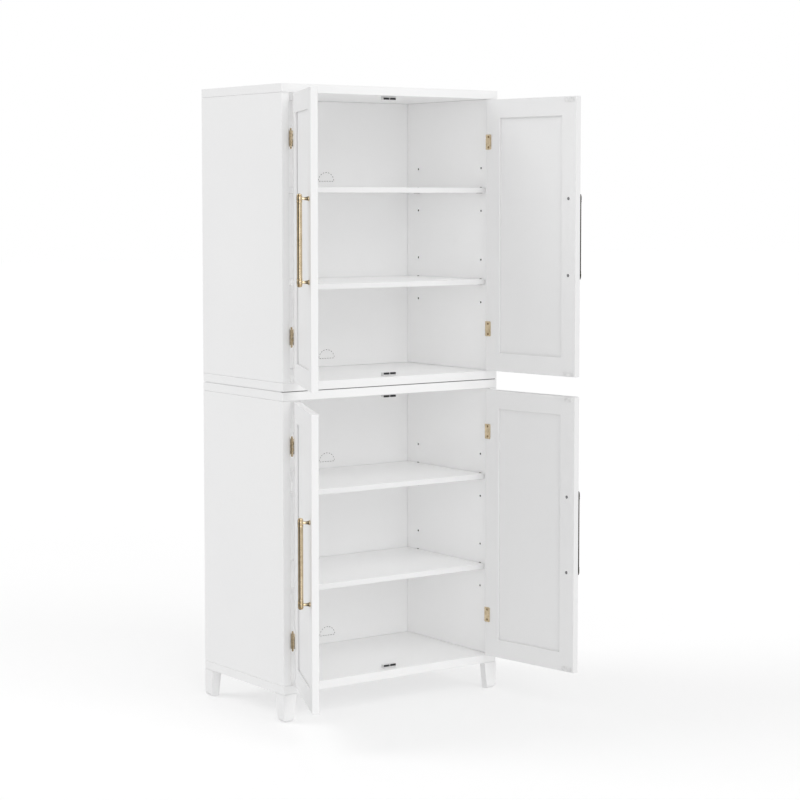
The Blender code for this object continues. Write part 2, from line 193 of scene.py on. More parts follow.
def add_bump(tree, shader, layers):
    """Stacks bump layers of (height, strength, distance) onto the shader's normal."""
    normal = None
    for height, strength, distance in layers:
        node = tree.nodes.new("ShaderNodeBump")
        node.inputs["Strength"].default_value = strength
        node.inputs["Distance"].default_value = distance
        tree.links.new(height, node.inputs["Height"])
        if normal is not None:
            tree.links.new(normal, node.inputs["Normal"])
        normal = node.outputs["Normal"]
    tree.links.new(normal, shader.inputs["Normal"])


def lacquer(name, white, warm=0.0, roughness=0.40, peel=0.05, faces=()):
    """Sprayed white lacquer: a very even colour, faint mottling, and fine orange peel in the gloss.

    Each of faces = (white, axis, sign) paints the sides that look along that axis in a whiter tone, as
    painted light that stands in for the stronger light on those sides; a sign of 0 means both ways.
    """
    material, tree, shader = node_material(name)
    vector = object_coordinates(tree)
    mottle = noise(tree, vector, 2.4, 3.0)
    light = (white, white, white - warm)
    shade = (white * 0.985, white * 0.985, white * 0.988 - warm)
    base = ramp(tree, mottle, [(0.32, shade), (0.68, light)])
    geometry = tree.nodes.new("ShaderNodeNewGeometry")
    separate = tree.nodes.new("ShaderNodeSeparateXYZ")
    tree.links.new(geometry.outputs["Normal"], separate.inputs[0])
    # Painted light: the sides that look along each listed axis are made whiter.
    for painted_light_white, axis, sign in faces:
        operation = "MULTIPLY" if sign else "ABSOLUTE"
        facing = math_node(tree, operation, separate.outputs[axis], float(sign))
        painted_light_tone = ramp(tree, mottle, [(0.32, painted_light_white * 0.985), (0.68, painted_light_white)])
        base = blend_colours(tree, ramp(tree, facing, [(0.45, 0.0), (0.55, 1.0)]), base, painted_light_tone)
    specks = ramp(tree, noise(tree, vector, 420.0, 2.0), [(0.40, 0.99), (0.60, 1.0)])
    tree.links.new(blend_colours(tree, 1.0, base, specks, "MULTIPLY"), shader.inputs["Base Color"])
    patches = noise(tree, vector, 9.0, 4.0)
    sheen_spots = ramp(tree, patches, [(0.3, roughness - 0.05), (0.7, roughness + 0.06)])
    tree.links.new(sheen_spots, shader.inputs["Roughness"])
    shader.inputs["Specular IOR Level"].default_value = 0.42
    add_bump(tree, shader, [
        (noise(tree, vector, 520.0, 2.0), peel, 0.0004),
        (noise(tree, vector, 38.0, 2.0), peel * 0.6, 0.0015),
    ])
    return material


def aged_brass(name, streaks=(1, 1, 1)):
    """Satin champagne brass, lightly brushed along one direction, with duller aged patches."""
    material, tree, shader = node_material(name)
    plain = object_coordinates(tree)
    brushed = object_coordinates(tree, streaks)
    patches = noise(tree, plain, 55.0, 5.0, 0.6)
    base = ramp(tree, patches, [
        (0.28, (0.60, 0.48, 0.30)),
        (0.50, (0.76, 0.62, 0.42)),
        (0.75, (0.86, 0.73, 0.52)),
    ])
    lines = noise(tree, brushed, 900.0, 2.0)
    darker = ramp(tree, lines, [(0.30, 0.88), (0.65, 1.0)])
    tree.links.new(blend_colours(tree, 1.0, base, darker, "MULTIPLY"), shader.inputs["Base Color"])
    shader.inputs["Metallic"].default_value = 1.0
    tree.links.new(ramp(tree, patches, [(0.3, 0.22), (0.7, 0.12)]), shader.inputs["Roughness"])
    add_bump(tree, shader, [(lines, 0.06, 0.0001), (noise(tree, plain, 240.0, 3.0), 0.04, 0.0002)])
    return material


def steel(name, tone, roughness, streaks=(1, 1, 1), metallic=1.0):
    material, tree, shader = node_material(name)
    plain = object_coordinates(tree)
    lines = noise(tree, object_coordinates(tree, streaks), 700.0, 2.0)
    cloud = noise(tree, plain, 90.0, 4.0)
    low = tuple(value * 0.80 for value in tone)
    base = ramp(tree, cloud, [(0.3, low), (0.7, tone)])
    tree.links.new(base, shader.inputs["Base Color"])
    shader.inputs["Metallic"].default_value = metallic
    sheen = ramp(tree, cloud, [(0.3, roughness + 0.08), (0.7, roughness)])
    tree.links.new(sheen, shader.inputs["Roughness"])
    add_bump(tree, shader, [(lines, 0.08, 0.0002)])
    return material


def moulded_plastic(name, colour):
    """Moulded plastic or rubber with a fine matt grain and a little dust."""
    material, tree, shader = node_material(name)
    vector = object_coordinates(tree)
    grain = noise(tree, vector, 1500.0, 2.0)
    dusty = tuple(value + 0.025 for value in colour)
    dust = ramp(tree, noise(tree, vector, 130.0, 4.0), [(0.45, colour), (0.8, dusty)])
    tree.links.new(dust, shader.inputs["Base Color"])
    tree.links.new(ramp(tree, grain, [(0.3, 0.42), (0.7, 0.58)]), shader.inputs["Roughness"])
    add_bump(tree, shader, [(grain, 0.25, 0.0002)])
    return material


def fibreboard(name, colour):
    """Fibreboard grain in the colour given, as inside the drilled support holes; the colours given here
    are far darker than raw board, as painted shade in the holes and slots.
    """
    material, tree, shader = node_material(name)
    fibres = noise(tree, object_coordinates(tree, (1, 1, 3)), 1800.0, 4.0, 0.7)
    dark = tuple(value * 0.55 for value in colour)
    tree.links.new(ramp(tree, fibres, [(0.35, dark), (0.65, colour)]), shader.inputs["Base Color"])
    shader.inputs["Roughness"].default_value = 0.9
    add_bump(tree, shader, [(fibres, 0.4, 0.0003)])
    return material


# ---------------------------------------------------------------- mesh tools

def add_turned(bm, profile, steps=40, matrix=Matrix.Identity(4)):
    """A turned closed solid from (radius, height) points that run from its top to its bottom."""
    rings = []
    for radius, height in profile:
        if radius < 1e-6:
            rings.append([bm.verts.new(matrix @ Vector((0, 0, height)))])
            continue
        ring = []
        for step in range(steps):
            angle = 2 * math.pi * step / steps
            point = Vector((radius * math.cos(angle), radius * math.sin(angle), height))
            ring.append(bm.verts.new(matrix @ point))
        rings.append(ring)
    for upper, lower in zip(rings, rings[1:]):
        for step in range(steps):
            after = (step + 1) % steps
            corners = [upper[step % len(upper)], lower[step % len(lower)],
                       lower[after % len(lower)], upper[after % len(upper)]]
            face = list(dict.fromkeys(corners))
            if len(face) > 2:
                bm.faces.new(face)


def add_prism(bm, outline, low, high, matrix=Matrix.Identity(4), bevel=0.0, segments=2):
    """A flat outline of (x, y) points, anticlockwise, from z = low to z = high, with eased rims."""
    part = bmesh.new()
    bottom = [part.verts.new((x, y, low)) for x, y in outline]
    top = [part.verts.new((x, y, high)) for x, y in outline]
    part.faces.new(list(reversed(bottom)))
    part.faces.new(top)
    for i in range(len(outline)):
        j = (i + 1) % len(outline)
        part.faces.new((bottom[i], bottom[j], top[j], top[i]))
    if bevel:
        rims = [edge for edge in part.edges if abs(edge.verts[0].co.z - edge.verts[1].co.z) < 1e-9]
        bmesh.ops.bevel(part, geom=rims, offset=bevel, segments=segments, profile=0.5, affect="EDGES")
    merge(bm, part, matrix)


def add_block(bm, low, high, bevel=0.0, matrix=Matrix.Identity(4), segments=2):
    part = bmesh.new()
    size = [b - a for a, b in zip(low, high)]
    bmesh.ops.create_cube(part, size=1.0)
    bmesh.ops.scale(part, vec=size, verts=part.verts)
    bmesh.ops.translate(part, vec=[(a + b) / 2 for a, b in zip(low, high)], verts=part.verts)
    if bevel:
        edges = list(part.edges)
        bmesh.ops.bevel(part, geom=edges, offset=bevel, segments=segments, profile=0.5, affect="EDGES")
    merge(bm, part, matrix)


def merge(bm, part, matrix):
    mesh = bpy.data.meshes.new("part")
    bmesh.ops.transform(part, matrix=matrix, verts=part.verts)
    if matrix.determinant() < 0:
        bmesh.ops.reverse_faces(part, faces=part.faces)
    part.to_mesh(mesh)
    part.free()
    bm.from_mesh(mesh)
    bpy.data.meshes.remove(mesh)


def add_copy(bm, mesh, matrix):
    part = bmesh.new()
    part.from_mesh(mesh)
    merge(bm, part, matrix)


def rounded_outline(width, height, radius, steps=8, corners=(True, True, True, True)):
    """Rectangle outline about the origin, anticlockwise from the lower right, with rounded corners."""
    points = []
    for number, (sx, sy) in enumerate(((1, -1), (1, 1), (-1, 1), (-1, -1))):
        x, y = sx * width / 2, sy * height / 2
        if not corners[number]:
            points.append((x, y))
            continue
        centre = (x - sx * radius, y - sy * radius)
        start = -math.pi / 2 + number * math.pi / 2
        for step in range(steps + 1):
            angle = start + step / steps * math.pi / 2
            points.append((centre[0] + radius * math.cos(angle), centre[1] + radius * math.sin(angle)))
    return points


def finished(name, bm, material, body, smooth=35.0, replaces=()):
    """Turns the mesh under construction into a piece of the model that moves with a body."""
    mesh = bpy.data.meshes.new(name)
    bm.normal_update()
    bm.to_mesh(mesh)
    bm.free()
    mesh.shade_smooth()
    mesh.set_sharp_from_angle(angle=math.radians(smooth))
    mesh.materials.append(material)
    piece = bpy.data.objects.new(name, mesh)
    bpy.context.scene.collection.objects.link(piece)
    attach(piece, body)
    if replaces:
        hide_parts(*replaces)
    return piece


def screw_head(name, radius, dome, recess):
    """Countersunk screw head on +Z with a cross recess, its rim at z = 0."""
    bm = bmesh.new()
    profile = [(0.0, dome)]
    for step in range(1, 7):
        angle = step / 6 * math.pi / 2
        profile.append((radius * math.sin(angle), dome * math.cos(angle)))
    profile += [(radius * 0.97, -0.0002), (radius * 0.5, -0.0012), (0.0, -0.0012)]
    add_turned(bm, profile, 28)
    base = scratch_object(name, bm)
    cutter_bm = bmesh.new()
    for turn in (0, math.pi / 2):
        length, width = radius * 1.15, radius * 0.26
        add_block(cutter_bm, (-length / 2, -width / 2, -recess), (length / 2, width / 2, dome * 3), 0.0,
                  Matrix.Rotation(turn, 4, "Z"))
    cutter = scratch_object(name + "_cross", cutter_bm)
    boolean = base.modifiers.new("Cross", "BOOLEAN")
    boolean.operation = "DIFFERENCE"
    boolean.use_self = True
    boolean.object = cutter
    bpy.context.view_layer.update()
    mesh = bpy.data.meshes.new_from_object(base.evaluated_get(bpy.context.evaluated_depsgraph_get()))
    for obj in (base, cutter):
        bpy.data.objects.remove(obj, do_unlink=True)
    return mesh


def scratch_object(name, bm):
    mesh = bpy.data.meshes.new(name)
    bm.to_mesh(mesh)
    bm.free()
    obj = bpy.data.objects.new(name, mesh)
    bpy.context.scene.collection.objects.link(obj)
    return obj


# ---------------------------------------------------------------- places from the frame

def corners(node):
    low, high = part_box(node)
    return Vector(low), Vector(high)


def joint_called(name):
    return [joint for joint in frame["joints"] if joint["name"] == name][0]


def door_place(door):
    """The matrix from the closed door's own space to where the door stands, and its box there."""
    side = SIDES[door.split("_")[1]]
    joint = joint_called(f"{door}_door_hinge")
    low, high = joint["range_deg"]
    opened = math.radians(-high if side < 0 else -low)
    matrix = Matrix.Translation(joint["pos_m"]) @ Matrix.Rotation(opened, 4, "Z")
    back = matrix.inverted()
    mesh = frame["nodes"][f"{door}_door_frame"].data
    array = np.array([back @ vertex.co for vertex in mesh.vertices])
    return matrix, array.min(axis=0), array.max(axis=0)


def toward(direction, position):
    """A matrix that stands +Z along direction at position."""
    turn = Vector((0, 0, 1)).rotation_difference(Vector(direction)).to_matrix().to_4x4()
    return Matrix.Translation(position) @ turn


# ---------------------------------------------------------------- case, doors and shelves

def dress_case(materials):
    """Gives every carried-over board its own lacquer."""
    for node, obj in frame["nodes"].items():
        if "pull" in node or "hinge" in node or "catch" in node:
            continue
        if node.startswith("stacking_pad"):
            material = materials["pad"]
        elif "door" in node:
            material = materials["door"]
        elif "shelf" in node:
            material = materials["shelf"]
        elif "back_panel" in node:
            material = materials["back"]
        elif "side_panel" in node:
            material = materials[node.split("_")[1] + "_side"]
        elif "top_panel" in node or "bottom_panel" in node:
            material = materials[node.split("_")[1]]
        else:
            material = materials["case"]
        obj.data.materials.clear()
        obj.data.materials.append(material)


def side_face(cupboard, side):
    """Inner face X and front Y of a side board."""
    low, high = corners(f"{cupboard}_{side}_side_panel")
    inner = low.x if SIDES[side] > 0 else high.x
    return inner, low.y


def hole_heights(cupboard, level):
    low, _ = corners(f"{cupboard}_shelf_{level}")
    middle = low.z + HOLE_ABOVE_SHELF_UNDERSIDE
    return [middle + step * HOLE_PITCH for step in (-1, 0, 1)]


def make_hole_liners(cupboard, side, material):
    """A thin near-black cup in each drilled hole: the raw board inside, darkened far below its own colour
    as painted shade in the hole.
    """
    inner, front = side_face(cupboard, side)
    outward = (-SIDES[side], 0, 0)
    bm = bmesh.new()
    outer, bore, rim = HOLE_RADIUS * 0.992, HOLE_RADIUS * 0.96, -0.0001
    depth = HOLE_DEPTH - 0.0003
    profile = [(bore, rim), (outer, rim), (outer, -depth), (0.0, -depth), (0.0, -depth + 0.0003),
               (bore, -depth + 0.0003), (bore, rim)]
    for level in SHELVES:
        for height in hole_heights(cupboard, level):
            for behind in (HOLE_FRONT, HOLE_REAR):
                add_turned(bm, profile, 20, toward(outward, (inner, front + behind, height)))
    bmesh.ops.remove_doubles(bm, verts=bm.verts, dist=1e-6)
    finished(f"{cupboard}_{side}_hole_liners", bm, material, "cabinet")


def make_shelf_supports(cupboard, side, level, material):
    """Two nickel angle supports: a pin in the side board, a plate on it and a foot under the shelf."""
    inner, front = side_face(cupboard, side)
    sign = -SIDES[side]
    shelf_low, _ = corners(f"{cupboard}_shelf_{level}")
    pin_height = hole_heights(cupboard, level)[1]
    width, plate, reach = 0.0120, 0.0012, 0.0160
    bm = bmesh.new()
    for behind in (HOLE_FRONT, HOLE_REAR):
        base = Matrix.Translation((inner, front + behind, 0)) @ Matrix.Diagonal((sign, 1, 1, 1))
        underside = shelf_low.z - 0.0002
        top = pin_height + 0.0080
        wall = rounded_outline(width, top - (underside - plate), 0.0042, 8, (False, True, True, False))
        middle = (top + underside - plate) / 2
        stand = Matrix(((0, 0, 1, 0.0001), (1, 0, 0, 0), (0, 1, 0, middle), (0, 0, 0, 1)))
        add_prism(bm, wall, 0, plate, base @ stand, 0.0002)
        foot = rounded_outline(reach, width, 0.0040, 8, (True, True, False, False))
        under = Matrix.Translation((reach / 2 + 0.0001, 0, 0))
        add_prism(bm, foot, underside - plate, underside, base @ under, 0.0002)
        pin = [(0, 0.0082), (0.0016, 0.0082), (0.0022, 0.0074), (0.0022, 0.0004), (0.0012, 0), (0, 0)]
        add_turned(bm, pin, 20, base @ toward((-1, 0, 0), (0.0006, 0, pin_height)))
        dimple = [(0, 0.0003), (0.0020, 0.0002), (0.0026, 0.0), (0, 0)]
        add_turned(bm, dimple, 20, base @ toward((1, 0, 0), (plate + 0.0001, 0, pin_height)))
    bmesh.ops.recalc_face_normals(bm, faces=bm.faces)
    finished(f"{cupboard}_{side}_supports_{level}", bm, material, "cabinet")


def make_catch(cupboard, end, materials):
    """Double magnetic catch: a white housing whose front holds two black magnets with steel poles."""
    low, high = corners(f"{cupboard}_catch_{end}")
    centre = (low + high) / 2
    size = high - low
    up = ENDS[end]
    # The face of the board that the catch is screwed to
    board = high.z if up > 0 else low.z
    tray = board - up * CATCH_TRAY
    carrier = bmesh.new()
    add_block(carrier, (low.x + 0.0010, low.y + 0.0018, min(board, tray)),
              (high.x - 0.0010, high.y, max(board, tray)), 0.0009)
    bottom, top = sorted((tray - up * 0.0001, board - up * size.z))
    add_block(carrier, (low.x + 0.0014, low.y + CATCH_BLACK, bottom),
              (high.x - 0.0014, high.y, top), 0.0010)
    finished(f"{cupboard}_{end}_catch_carrier", carrier, materials["catch_white"], "cabinet")
    blocks, poles = bmesh.new(), bmesh.new()
    middle = (bottom + top) / 2
    reach = size.x / 4 - 0.0024
    for half in (-1, 1):
        x = centre.x + half * (size.x / 4 - 0.0001)
        add_block(blocks, (x - reach, low.y + 0.0006, bottom + 0.0002),
                  (x + reach, low.y + CATCH_BLACK - 0.0001, top - 0.0001), 0.0007)
        for layer in (-1, 1):
            height = middle + layer * (top - bottom) * 0.27
            add_block(poles, (x - reach * 0.84, low.y + 0.0001, height - 0.0005),
                      (x + reach * 0.84, low.y + 0.0025, height + 0.0005), 0.0002)
    finished(f"{cupboard}_{end}_catch_magnets", blocks, materials["plastic"], "cabinet",
             replaces=[f"{cupboard}_catch_{end}"])
    finished(f"{cupboard}_{end}_catch_poles", poles, materials["magnet"], "cabinet")


def make_gap_shade_strip(material):
    """Dark strip just inside the front of the gap between the two cupboards, as painted shade in the gap.
    """
    upper_low, _ = corners("upper_bottom_panel")
    _, lower_high = corners("lower_top_panel")
    low, high = corners("stacking_pad_left")[0], corners("stacking_pad_right")[1]
    bm = bmesh.new()
    add_block(bm, (low.x + GAP_SHADE_INSET, low.y - GAP_SHADE_WIDTH - 0.001, lower_high.z + TOUCH),
              (high.x - GAP_SHADE_INSET, low.y - 0.001, upper_low.z - TOUCH), 0.0002)
    finished("front_gap_shade_strip", bm, material, "cabinet")


def make_knockout_slots(cupboard, material):
    """Painted shade in the perforations round the lead knock-outs: a dark fill that follows each slot in
    the board.
    """
    mesh = frame["nodes"][f"{cupboard}_back_panel"].data
    front = min(vertex.co.y for vertex in mesh.vertices)
    bm = bmesh.new()
    for polygon in mesh.polygons:
        depth = polygon.center.y - front
        if polygon.normal.y > -0.9 or not 0.001 < depth < 0.008:
            continue
        floor = [mesh.vertices[number].co for number in polygon.vertices]
        lift, rise = Vector((0, 0.0001, 0)), Vector((0, depth - 0.0005, 0))
        base = [bm.verts.new(point.lerp(polygon.center, 0.06) - lift) for point in floor]
        rim = [bm.verts.new(vertex.co - rise) for vertex in base]
        bm.faces.new(base[::-1])
        bm.faces.new(rim)
        for i in range(len(base)):
            j = (i + 1) % len(base)
            bm.faces.new((base[i], base[j], rim[j], rim[i]))
    bmesh.ops.recalc_face_normals(bm, faces=bm.faces)
    finished(f"{cupboard}_knockout_slots", bm, material, "cabinet")


# ---------------------------------------------------------------- hinges

def hinge_profile_knuckle(length, centre):
    chamfer = 0.0004
    top, bottom = centre + length / 2, centre - length / 2
    return [(0.0, top), (KNUCKLE_RADIUS - chamfer, top), (KNUCKLE_RADIUS, top - chamfer),
            (KNUCKLE_RADIUS, bottom + chamfer), (KNUCKLE_RADIUS - chamfer, bottom), (0.0, bottom)]


def make_hinge(door, end, place, door_box, materials, screw):
    """Partial-wrap butt hinge: flat leaf on the side board, cranked leaf round the door's edge."""
    side = SIDES[door.split("_")[1]]
    name = f"{door}_hinge_{end}"
    joint = joint_called(f"{door}_door_hinge")
    pin_low, pin_high = corners(f"{name}_pin")
    leaf_low, leaf_high = corners(f"{name}_cabinet_leaf")
    middle = (pin_low.z + pin_high.z) / 2
    half = (leaf_high.z - leaf_low.z) / 2
    rear = leaf_high.y - joint["pos_m"][1]
    mirror = Matrix.Diagonal((-side, 1, 1, 1))       # leaf shapes are drawn for a left-hand door
    on_case = Matrix.Translation((joint["pos_m"][0], joint["pos_m"][1], middle)) @ mirror
    on_door = place @ Matrix.Translation((0, 0, middle - joint["pos_m"][2])) @ mirror
    knuckle = 2 * half / 5
    gap = 0.0002
    neck = KNUCKLE_RADIUS + 0.0003

    side_x = -HINGE_GAP / 2 + TOUCH
    bm = bmesh.new()
    plate = rounded_outline(rear - neck, 2 * half, LEAF_CORNER, 6, (True, True, False, False))
    stand = Matrix(((0, 0, 1, side_x), (1, 0, 0, (rear + neck) / 2), (0, 1, 0, 0), (0, 0, 0, 1)))
    add_prism(bm, plate, 0, LEAF, on_case @ stand, 0.0002)
    for step in (-2, 0, 2):
        add_turned(bm, hinge_profile_knuckle(knuckle - gap, step * knuckle), 32, on_case)
        add_block(bm, (side_x, KNUCKLE_RADIUS * 0.5, step * knuckle - knuckle / 2 + gap),
                  (side_x + LEAF, neck + 0.002, step * knuckle + knuckle / 2 - gap), 0.0, on_case)
    finish_hinge_part(f"{name}_case_leaf", bm, materials["brass_plate"], "cabinet",
                      f"{name}_cabinet_leaf")

    edge_x = HINGE_GAP / 2 - TOUCH
    inner_face = door_box[1][1] + TOUCH
    wrap = 0.0225
    bend = 0.0016
    bm = bmesh.new()
    add_block(bm, (edge_x - LEAF, neck, -half), (edge_x, inner_face - bend + LEAF, half), 0.0002, on_door)
    flat = rounded_outline(wrap - bend, 2 * half, LEAF_CORNER, 6, (True, True, False, False))
    flat_x = edge_x + (wrap + bend) / 2 - LEAF
    lay = Matrix(((1, 0, 0, flat_x), (0, 0, 1, inner_face), (0, 1, 0, 0), (0, 0, 0, 1)))
    add_prism(bm, flat, 0, LEAF, on_door @ lay, 0.0002)
    add_bend(bm, (edge_x - LEAF + bend, inner_face + LEAF - bend), bend, half, on_door)
    for step in (-1, 1):
        add_turned(bm, hinge_profile_knuckle(knuckle - gap, step * knuckle), 32, on_door)
        add_block(bm, (edge_x - LEAF, KNUCKLE_RADIUS * 0.5, step * knuckle - knuckle / 2 + gap),
                  (edge_x, neck + 0.002, step * knuckle + knuckle / 2 - gap), 0.0, on_door)
    finish_hinge_part(f"{name}_wrap_leaf", bm, materials["brass_plate"], f"{door}_door",
                      f"{name}_door_leaf")

    bm = bmesh.new()
    tip, dome = half + gap, KNUCKLE_RADIUS * 0.80
    profile = [(0.0, tip + PIN_TIP)]
    profile += [(dome * math.sin(a), tip + PIN_TIP - dome * (1 - math.cos(a)))
                for a in (math.radians(22.5 * step) for step in range(1, 6))]
    profile += [(dome * 0.62, tip + PIN_TIP * 0.20), (dome * 0.95, tip + PIN_TIP * 0.10)]
    profile += [(dome * 0.95, tip), (0.0, tip)]
    add_turned(bm, profile, 32, on_case)
    add_turned(bm, [(radius, -height) for radius, height in reversed(profile)], 32, on_case)
    finish_hinge_part(f"{name}_pin_tips", bm, materials["brass_turned"], "cabinet", f"{name}_pin")

    on_wrap, on_leaf = bmesh.new(), bmesh.new()
    for direction in (-1, 1):
        height = direction * HINGE_SCREW_SPREAD / 2
        wrap_spot = (0.0125, inner_face + LEAF, height)
        leaf_spot = (side_x + LEAF, (rear + neck) / 2 + 0.001, height)
        add_copy(on_wrap, screw, on_door @ toward((0, 1, 0), wrap_spot))
        add_copy(on_leaf, screw, on_case @ toward((1, 0, 0), leaf_spot))
    finished(f"{name}_wrap_screws", on_wrap, materials["brass_dark"], f"{door}_door")
    finished(f"{name}_case_screws", on_leaf, materials["brass_dark"], "cabinet")


def add_bend(bm, centre, radius, half, matrix):
    """Quarter-round outer corner where the wrap leaf turns from the door's edge to its inner face."""
    outline = [(centre[0], centre[1])]
    for step in range(7):
        angle = math.pi / 2 + step / 6 * math.pi / 2
        outline.append((centre[0] + radius * math.cos(angle), centre[1] + radius * math.sin(angle)))
    add_prism(bm, outline, -half, half, matrix)


def finish_hinge_part(name, bm, material, body, node):
    bmesh.ops.recalc_face_normals(bm, faces=bm.faces)
    finished(name, bm, material, body, replaces=[node])


# ---------------------------------------------------------------- pulls and strike plates

def arc_points(centre_radius, centre_height, radius, start, end, steps):
    points = []
    for step in range(steps + 1):
        angle = math.radians(start + (end - start) * step / steps)
        across, along = radius * math.cos(angle), radius * math.sin(angle)
        points.append((centre_radius + across, centre_height + along))
    return points


def grip_profile(half):
    """Upper half of the grip: domed cap, bead, plain collar with grooves, bead, then the slim bar."""
    post = POST_SPACING / 2
    cap, collar = COLLAR_RADIUS * 0.86, COLLAR_RADIUS
    points = [(0.0, half)]
    for angle in map(math.radians, (18, 36, 54, 72, 90)):
        points.append((cap * math.sin(angle), half - 0.0042 * (1 - math.cos(angle))))
    points += [(cap * 0.80, half - 0.0050)]
    points += arc_points(collar - 0.0010, post + 0.0072, 0.0010, 80, -80, 6)
    points += [(collar - 0.0014, post + 0.0056), (collar - 0.0004, post + 0.0050)]
    points += [(collar - 0.0002, post + 0.0045), (collar - 0.0002, post - 0.0045)]
    points += [(collar - 0.0004, post - 0.0050), (collar - 0.0014, post - 0.0056)]
    points += arc_points(collar - 0.0010, post - 0.0072, 0.0010, 80, -80, 6)
    points += [(GRIP_RADIUS * 1.10, post - 0.0092), (GRIP_RADIUS * 1.02, post - 0.0120)]
    points += [(GRIP_RADIUS, post - 0.0160)]
    return points


def post_profile():
    """Post from the grip to the door: a slim neck that flares to a ringed foot."""
    points = [(0.0, PULL_OFFSET - 0.004), (0.0037, PULL_OFFSET - 0.004), (0.0037, PULL_OFFSET * 0.66)]
    for step in range(1, 9):
        share = step / 8
        points.append((0.0037 + 0.0020 * share ** 1.8, PULL_OFFSET * (0.66 - 0.50 * share)))
    points += [(0.0064, 0.0040), (0.0067, 0.0032), (0.0067, 0.0006), (0.0064, TOUCH), (0.0, TOUCH)]
    return points


def make_pull(door, place, box, materials, screw):
    side = SIDES[door.split("_")[1]]
    body = f"{door}_door"
    low, high = corners(f"{door}_pull")
    half = (high.z - low.z) / 2
    free_edge = box[0][0] if side > 0 else box[1][0]
    spot = Vector((free_edge + side * PULL_FROM_EDGE, box[0][1], 0))
    centre = place @ Matrix.Translation(spot)
    bm = bmesh.new()
    upper = grip_profile(half)
    profile = upper + [(radius, -height) for radius, height in reversed(upper)]
    add_turned(bm, profile, 48, centre @ Matrix.Translation((0, -PULL_OFFSET, 0)))
    for direction in (-1, 1):
        foot = toward((0, -1, 0), (0, 0, direction * POST_SPACING / 2))
        add_turned(bm, post_profile(), 40, centre @ foot)
    bmesh.ops.recalc_face_normals(bm, faces=bm.faces)
    finished(f"{door}_pull_bar", bm, materials["brass_turned"], body, 40.0, [f"{door}_pull"])
    screws = bmesh.new()
    for direction in (-1, 1):
        back = (spot.x, box[1][1], direction * POST_SPACING / 2)
        add_copy(screws, screw, place @ toward((0, 1, 0), back))
    finished(f"{door}_pull_screws", screws, materials["zinc"], body)


def make_strikes(door, place, box, materials, screw):
    """Steel strike plates on the inner face, at the top and bottom of the door's free edge."""
    side = SIDES[door.split("_")[1]]
    free_edge = box[0][0] if side > 0 else box[1][0]
    x = free_edge + side * STRIKE_FROM_EDGE
    face = box[1][1]
    plates, screws = bmesh.new(), bmesh.new()
    for height in (box[0][2] + STRIKE_FROM_END, box[1][2] - STRIKE_FROM_END):
        outline = rounded_outline(STRIKE_LENGTH, STRIKE_HEIGHT, STRIKE_HEIGHT / 2 - 0.0001, 12)
        lay = Matrix(((1, 0, 0, x), (0, 0, 1, face), (0, 1, 0, height), (0, 0, 0, 1)))
        add_prism(plates, outline, 0.0001, STRIKE_THICK, place @ lay, 0.0003)
        add_copy(screws, screw, place @ toward((0, 1, 0), (x, face + STRIKE_THICK, height)))
    bmesh.ops.recalc_face_normals(plates, faces=plates.faces)
    finished(f"{door}_strike_plates", plates, materials["strike"], f"{door}_door")
    finished(f"{door}_strike_screws", screws, materials["strike"], f"{door}_door")


# ---------------------------------------------------------------- stage

def studio_walls(tree, direction, sign, level):
    """What metal mirrors of the studio: tall light and dark panels that change with the bearing only."""
    separate = tree.nodes.new("ShaderNodeSeparateXYZ")
    tree.links.new(direction, separate.inputs[0])
    across = math_node(tree, "MULTIPLY", separate.outputs["X"], sign)
    ahead = math_node(tree, "MULTIPLY", separate.outputs["Y"], sign)
    bearing = math_node(tree, "DIVIDE", math_node(tree, "ARCTAN2", across, ahead), 2 * math.pi)
    turns = math_node(tree, "FRACT", bearing, 0.0)
    return ramp(tree, turns, [(angle / 360, tone * level) for angle, tone in REFLECTIONS])


def make_floor():
    mesh = bpy.data.meshes.new("studio_floor")
    bm = bmesh.new()
    bmesh.ops.create_grid(bm, x_segments=8, y_segments=8, size=40.0)
    bm.to_mesh(mesh)
    bm.free()
    material, tree, shader = node_material("studio_floor")
    cloud = noise(tree, object_coordinates(tree), 0.6, 2.0)
    white = ramp(tree, cloud, [(0.3, FLOOR_WHITE - 0.005), (0.7, FLOOR_WHITE + 0.005)])
    # Rays that reflect off polished parts see the floor black, glowing with a painted reflection of the
    # studio's light and dark walls; other rays see an even white glow.
    rays = tree.nodes.new("ShaderNodeLightPath")
    reflected = rays.outputs["Is Glossy Ray"]
    tree.links.new(blend_colours(tree, reflected, white, (0.0, 0.0, 0.0)), shader.inputs["Base Color"])
    shader.inputs["Roughness"].default_value = 0.9
    shader.inputs["Specular IOR Level"].default_value = 0.0
    geometry = tree.nodes.new("ShaderNodeNewGeometry")
    walls = studio_walls(tree, geometry.outputs["Incoming"], -1.0, FLOOR_REFLECTED / FLOOR_GLOW)
    glow = blend_colours(tree, reflected, (1.0, 1.0, 1.0), walls)
    tree.links.new(glow, shader.inputs["Emission Color"])
    shader.inputs["Emission Strength"].default_value = FLOOR_GLOW
    mesh.materials.append(material)
    floor = bpy.data.objects.new("studio_floor", mesh)
    bpy.context.scene.collection.objects.link(floor)
    floor.location.z = -0.0005


def make_world():
    """A white backdrop for the camera, and a softer, slightly uneven studio for what it lights."""
    world = bpy.data.worlds.new("studio")
    bpy.context.scene.world = world
    world.use_nodes = True
    tree = world.node_tree
    background = tree.nodes["Background"]
    coordinates = tree.nodes.new("ShaderNodeTexCoord")
    walls = studio_walls(tree, coordinates.outputs["Generated"], 1.0, 1.0)
    rays = tree.nodes.new("ShaderNodeLightPath")
    surroundings = blend_colours(tree, rays.outputs["Is Glossy Ray"], (DOME_LEVEL,) * 3, walls)
    seen = blend_colours(tree, rays.outputs["Is Camera Ray"], surroundings, (1.0, 1.0, 1.0))
    tree.links.new(seen, background.inputs["Color"])


